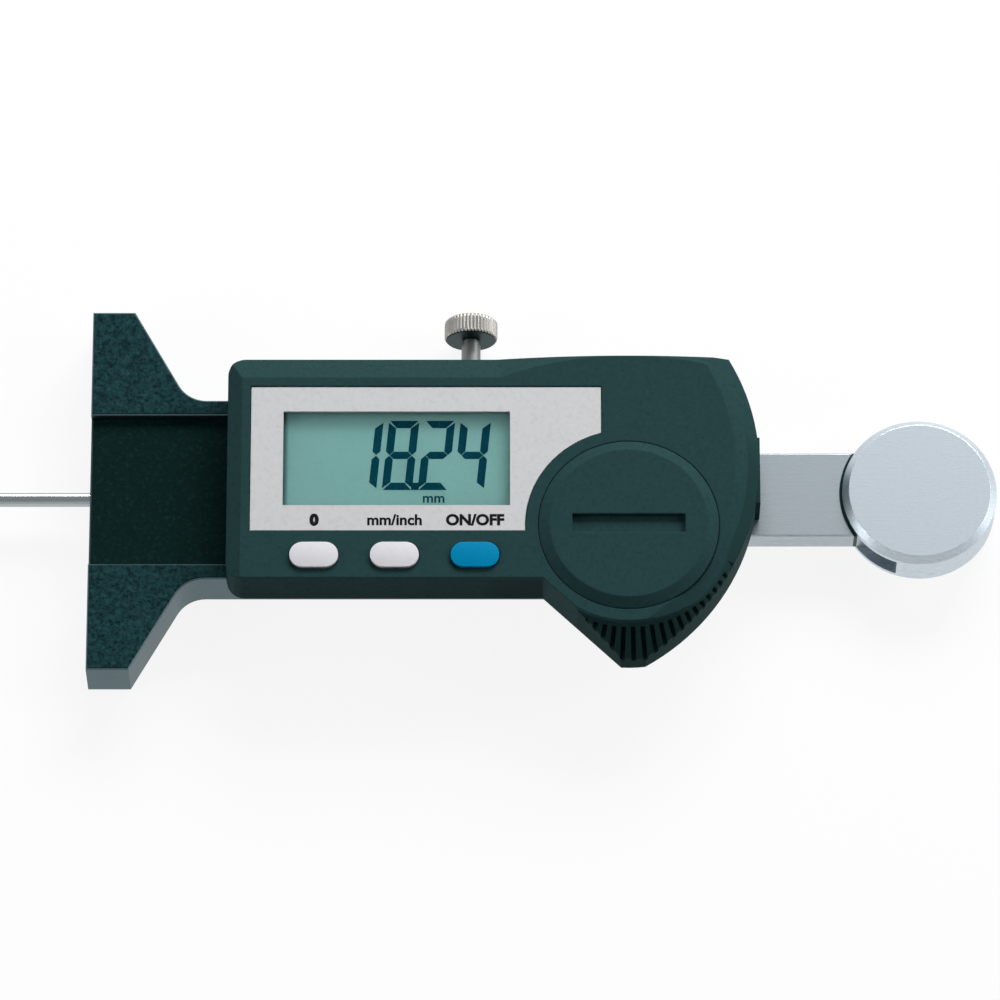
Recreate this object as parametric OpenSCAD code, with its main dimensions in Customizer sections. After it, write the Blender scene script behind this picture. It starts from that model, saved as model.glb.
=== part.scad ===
// Electronic depth gauge: a steel bridge with a thin round measuring pin, a display housing
// and a beam that ends in a slotted disc. All sizes are in millimetres.
// The origin is the point where the pin's axis crosses the measuring face. The pin points
// along -X, the display faces +Z, and Z = 0 is the middle of the beam's thickness.

/* [Bridge] */
// Length of the bridge across the pin
bridge_len = 60; // [50:1:80]
// Thickness of the bridge and its neck
bridge_thk = 9; // [8.5:0.5:12]
// Width of each foot of the bridge, along the pin
foot_w = 6.6; // [5:0.1:7]
// Angle between the back of a wing and the beam
wing_angle = 60.5; // [56:0.5:66]
// Fillet where a wing meets the neck
wing_fillet = 5; // [3:0.5:6]
// Width of the neck that carries the housing
neck_w = 30; // [28:0.5:32]
// Width of the shallow recess across the front of the bridge
recess_w = 25; // [22:0.5:26]
// Depth of solid steel that guides the pin
guide_len = 8; // [6:0.5:10]
// Chamfer on the edges of the bridge and the beam
steel_edge = 0.3; // [0.1:0.05:0.5]

/* [Beam] */
// Width of the beam
beam_w = 14; // [11:0.5:15]
// Thickness of the beam
beam_thk = 4.5; // [4:0.1:5.4]
// Reading at which the gauge is set, which is how far the pin stands out
reading = 18.24; // [0:0.01:30]
// Deepest reading
max_depth = 30; // [30:1:40]
// Diameter of the measuring pin
pin_d = 2.2; // [1.5:0.1:2.6]
// Depth to which the pin is pressed into the beam
pin_root = 10; // [6:0.5:14]
// Diameter of the end disc
disc_d = 24; // [20:0.5:28]
// Thickness of the end disc
disc_thk = 8; // [7:0.2:10]
// Chamfer on both rims of the end disc
disc_chamfer = 1; // [0.4:0.1:1.2]
// Distance from the end of the beam to the centre of the disc
disc_web = 3.7; // [2.5:0.1:5]
// Gap left between the disc and the housing at the deepest reading
disc_gap = 1.3; // [0.5:0.1:4]

/* [Housing] */
// Length of the neck that shows between the measuring face and the housing
neck_len = 21.5; // [20:0.5:26]
// Length of the housing along the beam
housing_len = 82.4; // [80:0.2:100]
// Distance from the beam's middle to the upper edge of the housing
housing_top = 19.7; // [18.5:0.1:24]
// Distance from the beam's middle to the lower edge of the housing
housing_bottom = 17.5; // [17:0.1:20]
// Height of the housing from its seat on the slider to its front face
housing_h = 8.7; // [8.5:0.1:11]
// Wall thickness of the housing
wall = 1.5; // [1.2:0.1:1.8]
// Radius of the round end of the housing
head_r = 36; // [34:0.5:40]
// Width of the bevel along the upper edge
top_bevel = 3.7; // [2:0.1:4]
// Width of the bevel round the right-hand end
end_bevel = 3.8; // [2:0.1:4.5]
// Width of the bevel at the left-hand end
left_bevel = 2.2; // [1:0.1:3]
// Drop of all three bevels
bevel_drop = 1.6; // [0.8:0.1:2]
// Number of grip grooves in the thumb rest
grip_count = 23; // [7:1:25]

/* [Display] */
// Width of the display window
window_w = 35.1; // [30:0.1:36]
// Height of the display window
window_h = 15.7; // [13:0.1:17]
// Length of the faceplate
plate_w = 54.2; // [50:0.1:55]
// Height of the faceplate
plate_h = 24; // [22:0.5:24.5]
// Thickness of the faceplate
plate_thk = 0.4; // [0.3:0.05:0.45]
// Length of a push button
button_w = 7.5; // [6:0.1:8.5]
// Height of a push button
button_h = 4.1; // [3:0.1:4.2]
// Distance between neighbouring buttons
button_pitch = 12.4; // [11:0.1:13]
// How far a button travels when it is pressed
button_travel = 0.4; // [0.2:0.05:0.6]
// How far a button stands above the housing
button_rise = 0.5; // [0.45:0.05:0.8]

/* [Battery cover] */
// Diameter of the battery cover
cover_d = 27.8; // [26.5:0.1:28.4]
// Width of the cover's sloping rim
cover_slope = 1.7; // [1:0.1:2.2]
// Height of the cover's top above the housing
cover_rise = 0.8; // [0.4:0.05:1]
// Width of the plain land between the cover and the faceplate
land_w = 2; // [1.6:0.1:2.2]
// Length of the coin slot
coin_len = 17.4; // [12:0.2:20]
// Width of the coin slot
coin_w = 3; // [1.6:0.1:3.4]
// Depth of the coin slot
coin_depth = 0.8; // [0.6:0.1:1.4]
// Angle through which the cover turns to open
cover_turn = 60; // [45:5:75]

/* [Lock screw] */
// Diameter of the lock screw's knurled head
lock_head_d = 8.3; // [6:0.1:8.6]
// Length of the knurled head
lock_head_len = 3.2; // [2:0.1:6]
// Diameter of the lock screw's shank
lock_d = 3; // [2.5:0.1:3.4]
// Shank that shows between the housing's edge and the head
lock_reach = 7.3; // [6:0.1:10]

/* [Hidden] */
$fn = 96;

// Clearances
slide_gap = 0.03;      // running gap of the beam in its channel
turn_gap = 0.1;        // gap round the battery cover
part_gap = 0.1;        // gap round fixed inserts
bore_gap = 0.05;       // radial gap of screws and of the pin
cut = 1;               // how far a cut runs past a face

// Beam, pin and disc
beam_front = beam_thk / 2;
travel_in = max_depth - reading;
housing_x0 = neck_len;
housing_x1 = neck_len + housing_len;
slider_x1 = housing_x1 - 3.9;
beam_x0 = guide_len + 0.5 + travel_in;
disc_x = housing_x1 + disc_gap + travel_in + disc_d / 2;
beam_x1 = disc_x - disc_web;
pin_r = pin_d / 2;
scale_thk = 0.4;
scale_w = beam_w - 4;
scale_x0 = beam_x0 + 10;
scale_x1 = housing_x1 - 8;
disc_screw_x = beam_x1 - 3.6;
disc_screw_y = beam_w / 4;
disc_screw_r = 1.25;
groove_w = 2.4;
groove_depth = 0.8;
stop_r = 1;
stop_x = slider_x1 - 10;
stop_play = 0.15;

// Frame: bridge, neck and slider in one piece of steel
seat_z = beam_front + 0.15;     // face that the housing and the slot cover sit on
channel_floor = -beam_front - slide_gap;
gib_thk = 1.25;
gib_h = beam_thk - 0.7;
gib_x0 = housing_x0 + 10.5;
gib_x1 = slider_x1 - 8;
gib_y0 = beam_w / 2 + slide_gap;
gib_pocket = gib_y0 + gib_thk + 0.3;
lock_x = housing_x0 + 37.7;
lock_head_y = housing_top + lock_reach;
lock_r = lock_d / 2;
set_screw_r = 1;
set_screw_xs = [lock_x - 20, lock_x + 20];

// Slot cover
slot_cover_thk = 0.75;
slot_cover_x0 = 0.3;
slot_cover_x1 = housing_x0 + wall + 1.5;

// Housing
face_z = seat_z + housing_h;
bevel_z = face_z - bevel_drop;
corner_r = 2.8;
cavity_z = bevel_z - 1.2;       // inside height under the bevels
roof_z = face_z - 1.6;          // inside height behind the display
head_x = housing_x1 - head_r;
head_y = 2.2;
crown_r = 53.7;                 // large arc that ends the upper bevel over the head
crown_x = housing_x1 - 20.4;
crown_y = housing_top - crown_r;
battery_x = housing_x1 - 20.3;
battery_y = -8.7;
cover_r = cover_d / 2;
land_r = cover_r + land_w;
flank_angle = 226.4;            // where the straight flank leaves the round land
tip_r = 20.3;
flank_cut = 0.4;                // how far the flank trims the round land
thumb_top_z = face_z - 0.9;
thumb_low_z = face_z - 6.3;
thumb_end_r = 22;
grip_w = 0.7;
grip_depth = 0.7;
end_pad_w = 11;                 // flat pad where the beam leaves the housing
end_pad_y = 1.2;

// Faceplate, window, buttons
plate_pocket = 0.5;
plate_x0 = housing_x0 + 3.7;
plate_y1 = 14.4;
plate_z0 = face_z - plate_pocket;
window_x0 = housing_x0 + 8.7;
window_y0 = -5.4;
window_lap = 0.45;
window_thk = 0.9;
lcd_lap = 0.7;
lcd_thk = 2.2;
lcd_z1 = roof_z - part_gap;
button_x0 = housing_x0 + 13.6;
button_y = -13.8;
button_ear = 0.8;
button_flange = 0.7;
button_gap = 0.12;
button_flange_z = roof_z - 0.05;
dome_z = button_flange_z - button_flange - button_travel - 0.05;

// Electronics
plate_back_thk = 0.6;
board_z0 = seat_z + plate_back_thk;
board_thk = 0.8;
board_z1 = board_z0 + board_thk;
head_len = 30;
head_x0 = housing_x0 + 30.5;
read_w = 12.4;
strip_w = 1.8;
boss_r = 2;
screw_r = 0.8;
screw_head_r = 1.6;
screw_y = neck_w / 2 - 3.2;
screw_spots = [
    [housing_x0 + 5.8, screw_y],
    [housing_x0 + 5.8, -screw_y],
    [slider_x1 - 5, screw_y],
    [battery_x - 16.3, -screw_y]
];

// Battery and its cover
cell_r = 10;
cell_thk = 3.2;
cell_step = 0.2;
cell_z0 = board_z1 + 0.7;
ledge_z = face_z - 0.9;         // the cover's flange rests here
ledge_thk = 1.6;
throat_r = cover_r - 2.3;
well_r = cover_r - 0.9;
skirt_z = ledge_z - 2.2;
lug_h = 0.5;
lug_w = 4.4;
lug_r = throat_r + 0.8;
seal_r = cover_r - 0.9;
seal_wire = 0.35;

// A plate with two round ends, centred on the origin in X and Y
module stadium(w, h, thk) {
    translate([-(w - h) / 2, 0, 0]) cylinder(d = h, h = thk);
    translate([(w - h) / 2, 0, 0]) cylinder(d = h, h = thk);
    translate([-(w - h) / 2, -h / 2, 0]) cube([w - h, h, thk]);
}

// A countersunk hole or screw along +Z from the origin
module countersunk(r, head_r, len) {
    cylinder(r = r, h = len);
    cylinder(r1 = head_r, r2 = r, h = head_r - r);
}

// One wing of the bridge and its fillet, on the +Y side
module wing_outline() {
    rise = (bridge_len - neck_w) / 2;
    run = rise / tan(wing_angle);
    reach = wing_fillet * tan(wing_angle / 2);
    root_x = foot_w + run;
    polygon([
        [0, 0],
        [0, bridge_len / 2],
        [foot_w, bridge_len / 2],
        [root_x, neck_w / 2],
        [root_x, 0]
    ]);
    difference() {
        polygon([
            [root_x - reach * cos(wing_angle), neck_w / 2 + reach * sin(wing_angle)],
            [root_x + reach, neck_w / 2],
            [root_x + reach, neck_w / 2 - 1],
            [root_x - 1, neck_w / 2 - 1]
        ]);
        translate([root_x + reach, neck_w / 2 + wing_fillet]) circle(r = wing_fillet);
    }
}

// A square bar along +X that takes a chamfer off the edge it lies on
module edge_bar(len) {
    side = steel_edge * sqrt(2);
    rotate([45, 0, 0]) translate([0, -side / 2, -side / 2]) cube([len, side, side]);
}

// Chamfer cuts round the front of the bridge, on the +Y side
module wing_chamfers() {
    rise = (bridge_len - neck_w) / 2;
    run = rise / tan(wing_angle);
    reach = wing_fillet * tan(wing_angle / 2);
    root_x = foot_w + run;
    translate([0, -cut, bridge_thk / 2]) rotate([0, 0, 90]) edge_bar(bridge_len / 2 + 2 * cut);
    translate([-cut, bridge_len / 2, bridge_thk / 2]) edge_bar(foot_w + 1.2 * cut);
    translate([foot_w, bridge_len / 2, bridge_thk / 2]) rotate([0, 0, -wing_angle])
        translate([-0.2 * cut, 0, 0]) edge_bar(rise / sin(wing_angle) - reach + 0.2 * cut);
    translate([root_x + reach, neck_w / 2 + wing_fillet, bridge_thk / 2 - steel_edge])
        cylinder(r1 = wing_fillet, r2 = wing_fillet + steel_edge, h = steel_edge);
    translate([root_x + reach, neck_w / 2, bridge_thk / 2]) edge_bar(slider_x1);
}

// Slider plate under the housing, with its far corners kept inside the housing's round end
module slider_plate() {
    intersection() {
        translate([housing_x0 - cut, -neck_w / 2, -bridge_thk / 2])
            cube([slider_x1 - housing_x0 + cut, neck_w, seat_z + bridge_thk / 2]);
        translate([head_x, head_y, -bridge_thk]) cylinder(r = head_r - 1.6, h = 2 * bridge_thk, $fn = 180);
    }
    translate([housing_x0 - cut, -neck_w / 2, -bridge_thk / 2])
        cube([head_x - housing_x0 + cut, neck_w, seat_z + bridge_thk / 2]);
}

module frame() {
    color([0.12, 0.22, 0.24]) difference() {
        union() {
            translate([0, 0, -bridge_thk / 2]) linear_extrude(bridge_thk) union() {
                wing_outline();
                mirror([0, 1]) wing_outline();
                translate([0, -neck_w / 2]) square([housing_x0, neck_w]);
            }
            slider_plate();
        }
        // chamfers on the front and back
        for (side = [0, 1], face = [0, 1]) mirror([0, side, 0]) mirror([0, 0, face]) wing_chamfers();
        for (side = [0, 1]) mirror([0, side, 0])
            translate([-cut, recess_w / 2, bridge_thk / 2]) edge_bar(housing_x0 + 2 * cut);
        // recess across the bridge
        translate([-cut, -recess_w / 2, seat_z]) cube([housing_x0 + 2 * cut, recess_w, bridge_thk]);
        // channel for the beam, open to the front, with room for the gib
        translate([guide_len, -beam_w / 2 - slide_gap, channel_floor])
            cube([slider_x1, beam_w + 2 * slide_gap, bridge_thk]);
        translate([gib_x0 - 0.4, 0, -gib_h / 2 - 0.15])
            cube([gib_x1 - gib_x0 + 0.8, gib_pocket, bridge_thk]);
        // guide for the measuring pin
        translate([-cut, 0, 0]) rotate([0, 90, 0]) cylinder(r = pin_r + bore_gap, h = guide_len + 2 * cut);
        // lock screw and the two gib screws
        translate([lock_x, gib_pocket - cut, 0]) rotate([-90, 0, 0])
            cylinder(r = lock_r + bore_gap, h = neck_w);
        for (x = set_screw_xs) translate([x, gib_pocket - cut, 0]) rotate([-90, 0, 0])
            cylinder(r = set_screw_r + bore_gap, h = neck_w);
        // screws from the back
        for (spot = screw_spots) translate([spot[0], spot[1], -bridge_thk / 2])
            countersunk(screw_r + bore_gap, screw_head_r + bore_gap, bridge_thk);
        translate([stop_x, 0, -bridge_thk / 2])
            countersunk(stop_r + bore_gap, stop_r + 1 + bore_gap, bridge_thk / 2);
    }
}

module slot_cover() {
    color([0.06, 0.13, 0.13])
        translate([slot_cover_x0, -recess_w / 2 + part_gap / 2, seat_z])
            cube([slot_cover_x1 - slot_cover_x0, recess_w - part_gap, slot_cover_thk]);
}

// Display end of the housing, drawn in by inset on every side
module display_block(inset, z0, z1) {
    x0 = housing_x0 + inset;
    y0 = -housing_bottom + inset;
    y1 = housing_top - inset;
    r = corner_r - min(inset, corner_r - 0.5);
    x1 = battery_x - 8;
    translate([x0 + r, y0 + r, z0]) cylinder(r = r, h = z1 - z0);
    translate([x0 + r, y1 - r, z0]) cylinder(r = r, h = z1 - z0);
    translate([x0 + r, y0, z0]) cube([x1 - x0 - r, y1 - y0, z1 - z0]);
    translate([x0, y0 + r, z0]) cube([r + 1, y1 - y0 - 2 * r, z1 - z0]);
}

// Everything on the battery's side of the straight flank, and inside the rounded tip
module flank_limit(inset, z0, z1) {
    translate([battery_x, battery_y, z0]) {
        intersection() {
            rotate([0, 0, flank_angle]) translate([-100, -80, 0])
                cube([100 + land_r - flank_cut - inset, 160, z1 - z0]);
            union() {
                cylinder(r = tip_r - inset, h = z1 - z0);
                translate([-60, -land_r + 4.5, 0]) cube([120, 80, z1 - z0]);
            }
        }
    }
}

// Round end of the housing without its bevels, drawn in by inset
module head_block(inset, z0, z1) {
    intersection() {
        translate([head_x, head_y, z0]) cylinder(r = head_r - inset, h = z1 - z0, $fn = 180);
        translate([head_x - 10, -60, z0]) cube([60 + head_r, 60 + housing_top - inset, z1 - z0]);
        flank_limit(inset, z0, z1);
    }
}

// Bevels of the round end, as one cone about the end radius and one about the crown arc
module head_bevels() {
    translate([head_x, head_y, bevel_z])
        cylinder(r1 = head_r, r2 = head_r - end_bevel, h = bevel_drop, $fn = 180);
    translate([head_x, head_y, seat_z]) cylinder(r = head_r, h = bevel_z - seat_z, $fn = 180);
}

module crown_bevel() {
    translate([crown_x, crown_y, bevel_z])
        cylinder(r1 = crown_r + top_bevel, r2 = crown_r, h = bevel_drop, $fn = 240);
    translate([crown_x, crown_y, seat_z]) cylinder(r = crown_r + 20, h = bevel_z - seat_z, $fn = 96);
}

module housing_outside() {
    difference() {
        display_block(0, seat_z, face_z);
        // bevel along the upper edge
        translate([housing_x0 - cut, housing_top - top_bevel, face_z])
            rotate([-atan(bevel_drop / top_bevel), 0, 0]) cube([housing_len, 3 * top_bevel, 3 * bevel_drop]);
        // bevel down the left-hand end
        translate([housing_x0 + left_bevel, -housing_bottom - cut, face_z])
            rotate([0, -atan(bevel_drop / left_bevel), 0]) translate([-3 * left_bevel, 0, 0])
                cube([3 * left_bevel, housing_top + housing_bottom + 2 * cut, 3 * bevel_drop]);
    }
    intersection() {
        head_block(0, seat_z, face_z);
        head_bevels();
        crown_bevel();
    }
    // flat pad over the beam's exit
    translate([head_x, end_pad_y - end_pad_w / 2, seat_z])
        cube([head_r + 0.1, end_pad_w, bevel_z - 0.4 - seat_z]);
}

// Inside footprint of the housing, which the board and the back plate share
module cavity(inset, z0, z1) {
    display_block(inset, z0, z1);
    intersection() {
        head_block(inset, z0, z1);
        translate([head_x - 10, -housing_bottom + inset, z0]) cube([60 + head_r, 80, z1 - z0]);
    }
    translate([battery_x, battery_y, z0]) cylinder(r = well_r - (inset - wall), h = z1 - z0);
}

module plate_outline(grow, z0, thk) {
    difference() {
        translate([plate_x0 - grow, plate_y1 - plate_h - grow, z0])
            cube([plate_w + 2 * grow, plate_h + 2 * grow, thk]);
        translate([battery_x, battery_y, z0 - cut]) cylinder(r = land_r + part_gap - grow, h = thk + 2 * cut);
    }
}

module thumb_rest_cut() {
    intersection() {
        translate([battery_x, battery_y, 0]) rotate_extrude($fn = 120)
            polygon([
                [land_r, face_z + 3],
                [land_r, thumb_top_z],
                [thumb_end_r, thumb_low_z],
                [2 * thumb_end_r, thumb_low_z],
                [2 * thumb_end_r, face_z + 3]
            ]);
        translate([battery_x, battery_y, 0]) linear_extrude(face_z + 5)
            polygon([
                [0, 0],
                [0, -housing_bottom - battery_y],
                [-60, -housing_bottom - battery_y],
                [0, -80],
                [60 * cos(-20), 60 * sin(-20)]
            ]);
    }
}

module grip_grooves() {
    slope = atan((thumb_top_z - thumb_low_z) / (thumb_end_r - land_r));
    first = -138;
    last = -28;
    for (i = [0 : grip_count - 1])
        translate([battery_x, battery_y, 0])
            rotate([0, 0, first + i * (last - first) / (grip_count - 1)])
                translate([land_r, -grip_w / 2, thumb_top_z]) rotate([0, slope, 0])
                    translate([0.7, 0, -grip_depth]) cube([12, grip_w, 3]);
}

module housing() {
    color([0.16, 0.25, 0.27]) difference() {
        union() {
            difference() {
                housing_outside();
                cavity(wall, seat_z - cut, cavity_z);
                // room behind the display and the buttons
                translate([window_x0 - 5, -housing_bottom + wall, seat_z])
                    cube([window_w + 12, plate_y1 + housing_bottom - wall, roof_z - seat_z]);
                thumb_rest_cut();
                grip_grooves();
            }
            // bosses that take the screws
            intersection() {
                for (spot = screw_spots)
                    translate([spot[0], spot[1], board_z1 + 0.05])
                        cylinder(r = boss_r, h = face_z - board_z1 - 1.2);
                cavity(wall - 0.5, seat_z, roof_z + 0.2);
            }
        }
        // slot cover passes under the left-hand wall
        translate([housing_x0 - cut, -recess_w / 2 - part_gap, seat_z - cut])
            cube([wall + 3, recess_w + 2 * part_gap, slot_cover_thk + cut + part_gap]);
        // pocket and opening for the faceplate and the window
        plate_outline(part_gap, plate_z0, 5);
        translate([window_x0 - window_lap - part_gap, window_y0 - window_lap - part_gap, roof_z - cut])
            cube([window_w + 2 * (window_lap + part_gap), window_h + 2 * (window_lap + part_gap), 5]);
        // button openings
        for (i = [0 : 2]) translate([button_x0 + i * button_pitch, button_y, roof_z - cut])
            stadium(button_w + 2 * button_gap, button_h + 2 * button_gap, 5);
        // battery opening: seat for the cover, throat, seal groove and bayonet slots
        translate([battery_x, battery_y, 0]) {
            translate([0, 0, ledge_z]) cylinder(r = cover_r + turn_gap, h = 5);
            translate([0, 0, seat_z - cut]) cylinder(r = throat_r + turn_gap, h = face_z);
            translate([0, 0, seat_z - cut]) cylinder(r = well_r, h = ledge_z - ledge_thk - seat_z + cut);
            for (a = [0, 180]) rotate([0, 0, a + 90 + cover_turn])
                translate([0, -lug_w / 2 - 0.3, seat_z])
                    cube([lug_r + turn_gap, lug_w + 0.6, face_z - seat_z]);
            rotate_extrude() translate([seal_r - seal_wire - 0.05, ledge_z - 2 * seal_wire])
                square([2 * seal_wire + 0.1, 3]);
        }
        // screw holes in the bosses
        for (spot = screw_spots) translate([spot[0], spot[1], board_z1 - cut])
            cylinder(r = screw_r, h = roof_z - board_z1);
    }
}

module faceplate() {
    color([0.78, 0.79, 0.80]) difference() {
        plate_outline(0, plate_z0, plate_thk);
        translate([window_x0, window_y0, plate_z0 - cut]) cube([window_w, window_h, 3]);
    }
}

module display_window() {
    color([0.60, 0.72, 0.70, 0.5])
        translate([window_x0 - window_lap, window_y0 - window_lap, roof_z])
            cube([window_w + 2 * window_lap, window_h + 2 * window_lap, window_thk]);
}

module lcd_module() {
    color([0.45, 0.63, 0.60])
        translate([window_x0 - lcd_lap, window_y0 - lcd_lap, lcd_z1 - lcd_thk])
            cube([window_w + 2 * lcd_lap, window_h + 2 * lcd_lap, lcd_thk]);
}

module contact_strips() {
    for (y = [window_y0 - lcd_lap + 0.2, window_y0 + window_h + lcd_lap - strip_w - 0.2])
        color([0.75, 0.45, 0.50]) translate([window_x0 + 0.5, y, board_z1])
            cube([window_w - 1, strip_w, lcd_z1 - lcd_thk - board_z1]);
}

module board_holes() {
    for (spot = screw_spots) translate([spot[0], spot[1], 0]) cylinder(r = screw_r + 0.2, h = 10);
}

// The board and the back plate stop short of the slot cover
module board_shape(gap, z0, thk) {
    difference() {
        cavity(wall + gap, z0, z0 + thk);
        translate([0, -recess_w / 2 - part_gap, z0 - cut])
            cube([slot_cover_x1 + part_gap, recess_w + 2 * part_gap, 3]);
        board_holes();
    }
}

module circuit_board() {
    color([0.10, 0.40, 0.22]) board_shape(0.25, board_z0, board_thk);
}

module back_plate() {
    color([0.55, 0.56, 0.58]) difference() {
        board_shape(0.1, seat_z, plate_back_thk);
        translate([head_x0 - part_gap, -read_w / 2 - part_gap, seat_z - cut])
            cube([head_len + 2 * part_gap, read_w + 2 * part_gap, 3]);
    }
}

module read_head() {
    color([0.12, 0.45, 0.25]) translate([head_x0, -read_w / 2, seat_z])
        cube([head_len, read_w, plate_back_thk]);
}

module keypad() {
    color([0.20, 0.20, 0.22]) {
        translate([button_x0 - button_w / 2, button_y - button_h / 2 + 0.1, board_z1])
            cube([2 * button_pitch + button_w, button_h - 0.2, 0.6]);
        for (i = [0 : 2]) translate([button_x0 + i * button_pitch, button_y, board_z1])
            stadium(button_w - 2, button_h - 1, dome_z - board_z1);
    }
}

module button(i) {
    translate([button_x0 + i * button_pitch, button_y, button_flange_z - button_flange]) {
        stadium(button_w, button_h, face_z + button_rise - button_flange_z + button_flange);
        stadium(button_w + 2 * button_ear, button_h, button_flange);
    }
}

module button_left() {
    color([0.88, 0.88, 0.90]) button(0);
}

module button_middle() {
    color([0.88, 0.88, 0.90]) button(1);
}

module button_right() {
    color([0.0, 0.49, 0.69]) button(2);
}

module battery() {
    color([0.80, 0.80, 0.82]) translate([battery_x, battery_y, cell_z0]) {
        cylinder(r = cell_r - 1.2, h = cell_step);
        translate([0, 0, cell_step]) cylinder(r = cell_r, h = cell_thk - cell_step);
    }
}

module contact_plus() {
    color([0.85, 0.75, 0.45]) translate([battery_x - cell_r - 0.5, battery_y - 2.5, board_z1]) {
        cube([0.4, 5, cell_thk]);
        translate([-1.2, 0, 0]) cube([1.6, 5, 0.3]);
    }
}

module contact_minus() {
    color([0.85, 0.75, 0.45]) translate([battery_x, battery_y, board_z1]) {
        cylinder(r = 4, h = 0.3);
        cylinder(r = 2, h = cell_z0 - board_z1);
    }
}

module battery_seal() {
    color([0.05, 0.05, 0.05]) translate([battery_x, battery_y, ledge_z - seal_wire - 0.02])
        rotate_extrude() translate([seal_r, 0]) circle(r = seal_wire - 0.02, $fn = 24);
}

module battery_cover() {
    flange_z = ledge_z + 0.02;
    top_z = face_z + cover_rise;
    color([0.17, 0.27, 0.29]) translate([battery_x, battery_y, 0]) difference() {
        union() {
            translate([0, 0, flange_z]) cylinder(r = cover_r, h = face_z - flange_z);
            translate([0, 0, face_z]) cylinder(r1 = cover_r, r2 = cover_r - cover_slope, h = cover_rise);
            translate([0, 0, skirt_z]) cylinder(r = throat_r, h = flange_z - skirt_z);
            for (a = [90, 270]) rotate([0, 0, a]) translate([throat_r - 1, -lug_w / 2, skirt_z])
                cube([lug_r - throat_r + 1, lug_w, lug_h]);
        }
        translate([0, 0, skirt_z - cut])
            cylinder(r = throat_r - 1.1, h = top_z - coin_depth - 1 - skirt_z + cut);
        translate([-coin_len / 2, -coin_w / 2, top_z - coin_depth]) cube([coin_len, coin_w, 3]);
    }
}

module gib() {
    color([0.72, 0.60, 0.32]) translate([gib_x0, gib_y0, -gib_h / 2]) cube([gib_x1 - gib_x0, gib_thk, gib_h]);
}

module gib_screws() {
    tip = gib_y0 + gib_thk + bore_gap;
    for (x = set_screw_xs) color([0.45, 0.46, 0.48]) translate([x, tip, 0]) rotate([-90, 0, 0]) difference() {
        cylinder(r = set_screw_r, h = neck_w / 2 - 0.6 - tip);
        translate([-0.2, -2, neck_w / 2 - 1.3 - tip]) cube([0.4, 4, 2]);
    }
}

module lock_screw() {
    tip = gib_y0 + gib_thk + bore_gap;
    edge = 0.4;
    color([0.62, 0.62, 0.60]) translate([lock_x, 0, 0]) rotate([-90, 0, 0]) {
        translate([0, 0, tip]) cylinder(r = lock_r, h = lock_head_y - tip + 0.5);
        translate([0, 0, lock_head_y]) rotate_extrude() polygon([
            [0, 0],
            [lock_head_d / 2 - edge, 0],
            [lock_head_d / 2, edge],
            [lock_head_d / 2, lock_head_len - edge],
            [lock_head_d / 2 - edge, lock_head_len],
            [0, lock_head_len]
        ]);
    }
}

// Cross-section of the beam, with its four edges broken
module beam_section() {
    y = beam_w / 2;
    edge = 0.7 * steel_edge;
    polygon([
        [-y + edge, -beam_front],
        [y - edge, -beam_front],
        [y, -beam_front + edge],
        [y, beam_front - edge],
        [y - edge, beam_front],
        [-y + edge, beam_front],
        [-y, beam_front - edge],
        [-y, -beam_front + edge]
    ]);
}

module beam() {
    color([0.66, 0.70, 0.72]) difference() {
        translate([beam_x0, 0, 0]) rotate([90, 0, 90]) linear_extrude(beam_x1 - beam_x0) beam_section();
        // seat of the pin
        translate([beam_x0 - cut, 0, 0]) rotate([0, 90, 0]) cylinder(r = pin_r + 0.02, h = pin_root + cut);
        // bed of the scale
        translate([scale_x0 - part_gap, -scale_w / 2 - part_gap, beam_front - scale_thk])
            cube([scale_x1 - scale_x0 + 2 * part_gap, scale_w + 2 * part_gap, 3]);
        // groove for the stop screw
        translate([stop_x - stop_r - reading - stop_play, -groove_w / 2, -beam_front - cut])
            cube([max_depth + 2 * (stop_r + stop_play), groove_w, groove_depth + cut]);
        for (y = [-disc_screw_y, disc_screw_y]) translate([disc_screw_x, y, -beam_thk])
            cylinder(r = disc_screw_r + bore_gap, h = 2 * beam_thk);
    }
}

module scale() {
    color([0.80, 0.70, 0.45]) translate([scale_x0, -scale_w / 2, beam_front - scale_thk])
        cube([scale_x1 - scale_x0, scale_w, scale_thk]);
}

module measuring_pin() {
    tip = 0.3;
    color([0.75, 0.77, 0.78]) translate([-reading, 0, 0]) rotate([0, 90, 0]) {
        cylinder(r1 = pin_r - tip, r2 = pin_r, h = tip);
        translate([0, 0, tip]) cylinder(r = pin_r, h = reading + beam_x0 + pin_root - tip - 0.1);
    }
}

module end_disc() {
    r = disc_d / 2;
    half = disc_thk / 2;
    color([0.76, 0.80, 0.83]) difference() {
        translate([disc_x, 0, -half]) rotate_extrude() polygon([
            [0, 0],
            [r - disc_chamfer, 0],
            [r, disc_chamfer],
            [r, disc_thk - disc_chamfer],
            [r - disc_chamfer, disc_thk],
            [0, disc_thk]
        ]);
        translate([disc_x - r - cut, -r - cut, -beam_front])
            cube([r + cut - disc_web, 2 * (r + cut), beam_thk]);
        for (y = [-disc_screw_y, disc_screw_y]) translate([disc_screw_x, y, -half])
            countersunk(disc_screw_r + bore_gap, disc_screw_r + 1 + bore_gap, disc_thk - 0.9);
    }
}

module disc_screws() {
    for (y = [-disc_screw_y, disc_screw_y])
        color([0.45, 0.46, 0.48]) translate([disc_screw_x, y, -disc_thk / 2]) difference() {
            countersunk(disc_screw_r, disc_screw_r + 1, disc_thk - 1.1);
            translate([-3, -0.25, -cut]) cube([6, 0.5, 0.5 + cut]);
        }
}

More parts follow.
